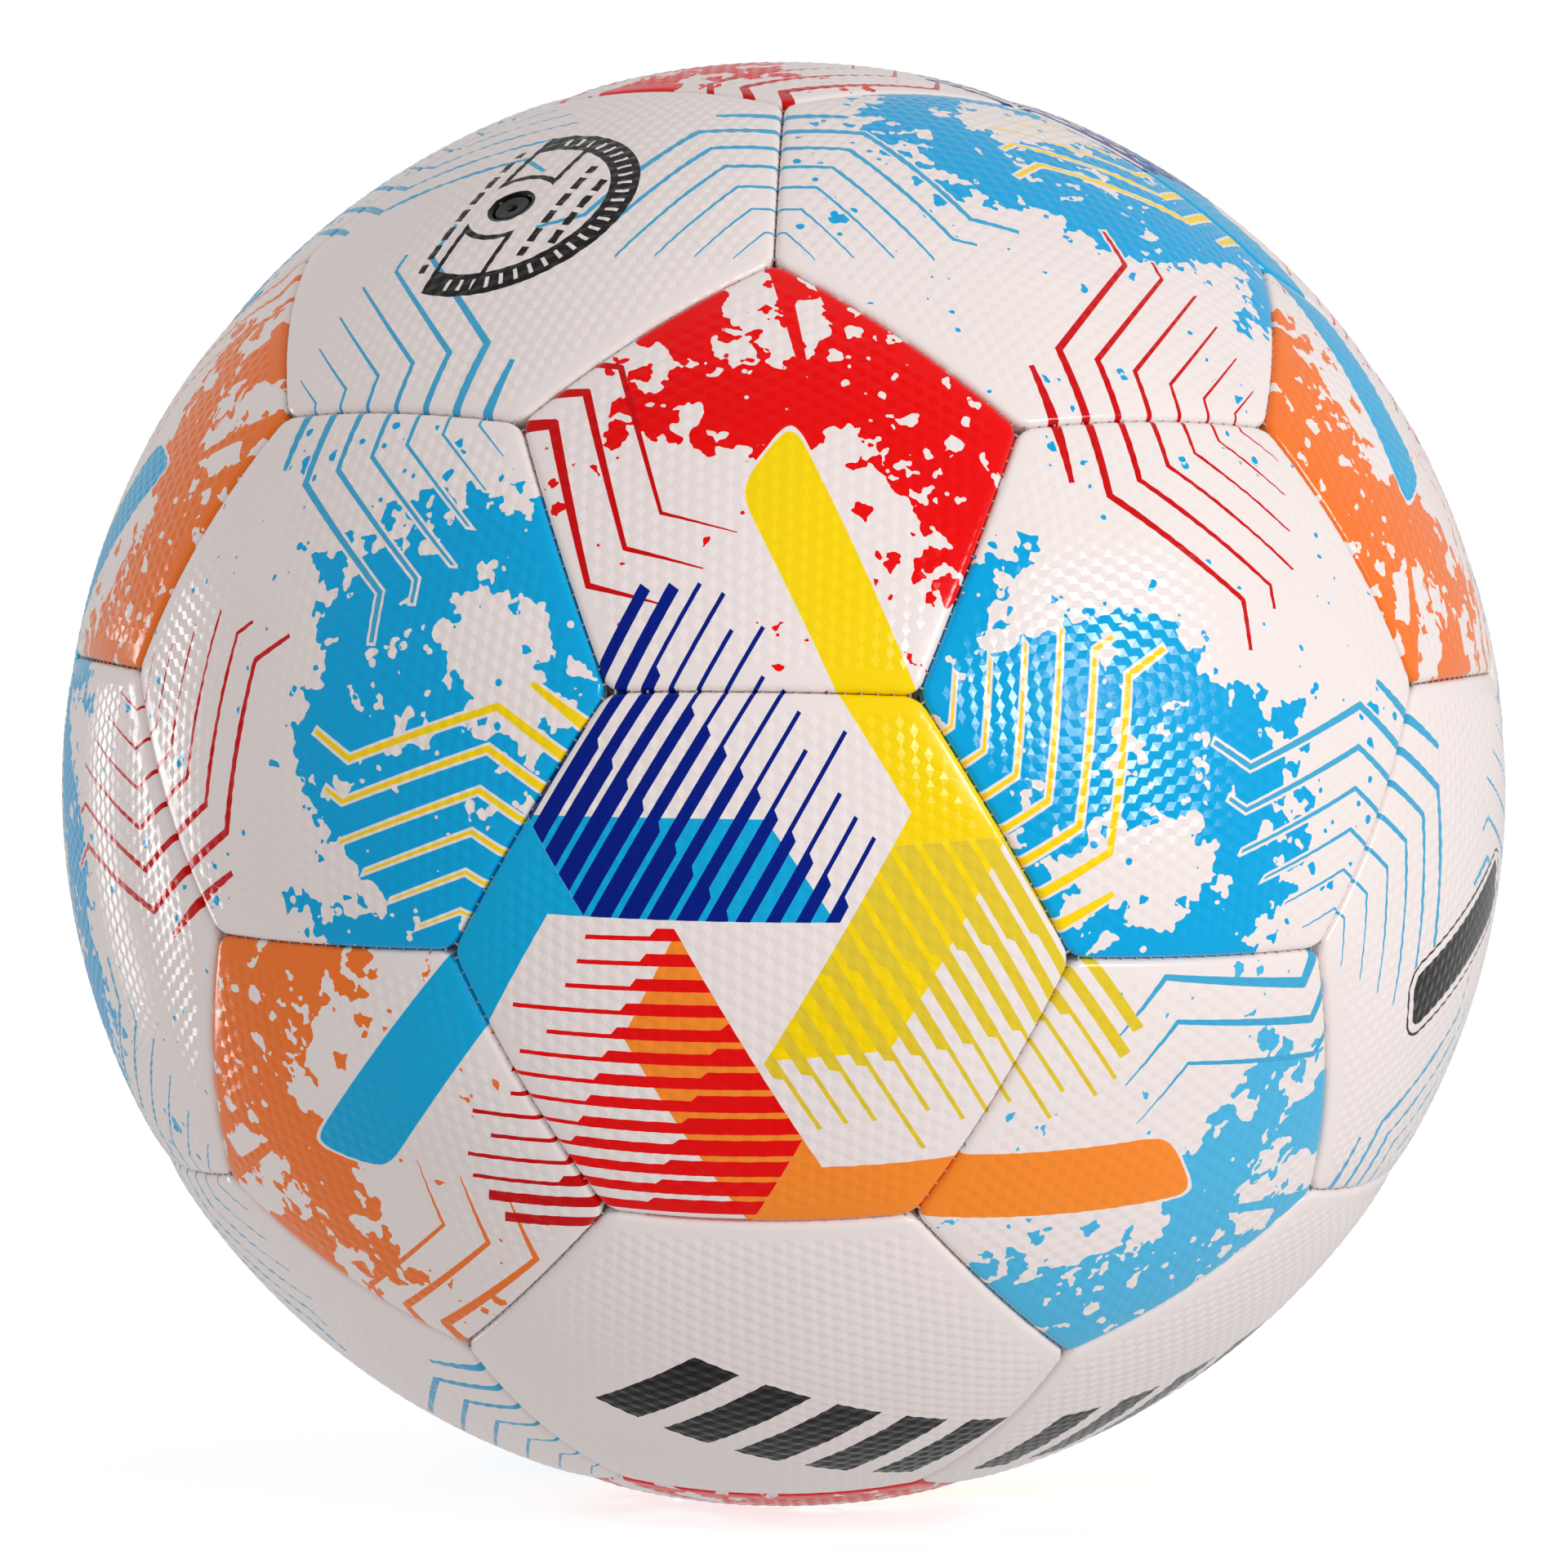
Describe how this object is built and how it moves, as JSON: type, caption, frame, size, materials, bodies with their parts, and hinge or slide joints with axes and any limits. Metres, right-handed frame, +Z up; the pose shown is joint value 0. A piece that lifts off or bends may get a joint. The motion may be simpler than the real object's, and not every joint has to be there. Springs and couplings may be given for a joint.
{
  "type": "soccer ball",
  "caption": "Soccer ball: sewn hexagon and pentagon cover panels with an embossed, colour-printed skin over a cloth lining and a rubber bladder with a needle valve.",
  "frame": {"origin": "the middle of the ball", "axes": "+Z up through the middle of the top pentagon panel, -Y towards the first pentagon panel of the upper ring, which is the front of the ball, +X to the right of it"},
  "size_m": [0.2188, 0.2196, 0.22],
  "materials": {
    "cover_hexagon": "warm white polyurethane skin, embossed with small facets, semi-gloss, printed in blue, red, yellow and orange",
    "cover_pentagon": "warm white polyurethane skin, embossed with small facets, semi-gloss, printed in red, orange and blue",
    "thread": "waxed polyester sewing thread",
    "lining_cloth": "plies of woven polyester and cotton cloth, matt",
    "butyl_rubber": "black butyl rubber, satin",
    "valve_rubber": "black moulded rubber, satin",
    "plug_rubber": "brown self-sealing rubber"
  },
  "bodies": {
    "root": {"balance_patch": "butyl_rubber", "bladder": "butyl_rubber", "cloth_lining": "lining_cloth", "hexagon_panel_bottom_1": "cover_hexagon", "hexagon_panel_bottom_2": "cover_hexagon", "hexagon_panel_bottom_3": "cover_hexagon", "hexagon_panel_bottom_4": "cover_hexagon", "hexagon_panel_bottom_5": "cover_hexagon", "hexagon_panel_lower_1": "cover_hexagon", "hexagon_panel_lower_2": "cover_hexagon", "hexagon_panel_lower_3": "cover_hexagon", "hexagon_panel_lower_4": "cover_hexagon", "hexagon_panel_lower_5": "cover_hexagon", "hexagon_panel_top_1": "cover_hexagon", "hexagon_panel_top_2": "cover_hexagon", "hexagon_panel_top_3": "cover_hexagon", "hexagon_panel_top_4": "cover_hexagon", "hexagon_panel_top_5": "cover_hexagon", "hexagon_panel_upper_1": "cover_hexagon", "hexagon_panel_upper_2": "cover_hexagon", "hexagon_panel_upper_3": "cover_hexagon", "hexagon_panel_upper_4": "cover_hexagon", "hexagon_panel_upper_5": "cover_hexagon", "needle_plug": "plug_rubber", "pentagon_panel_bottom": "cover_pentagon", "pentagon_panel_lower_1": "cover_pentagon", "pentagon_panel_lower_2": "cover_pentagon", "pentagon_panel_lower_3": "cover_pentagon", "pentagon_panel_lower_4": "cover_pentagon", "pentagon_panel_lower_5": "cover_pentagon", "pentagon_panel_top": "cover_pentagon", "pentagon_panel_upper_1": "cover_pentagon", "pentagon_panel_upper_2": "cover_pentagon", "pentagon_panel_upper_3": "cover_pentagon", "pentagon_panel_upper_4": "cover_pentagon", "pentagon_panel_upper_5": "cover_pentagon", "seam_thread": "thread", "valve_patch": "butyl_rubber", "valve_stem": "valve_rubber"}
  },
  "joints": []
}
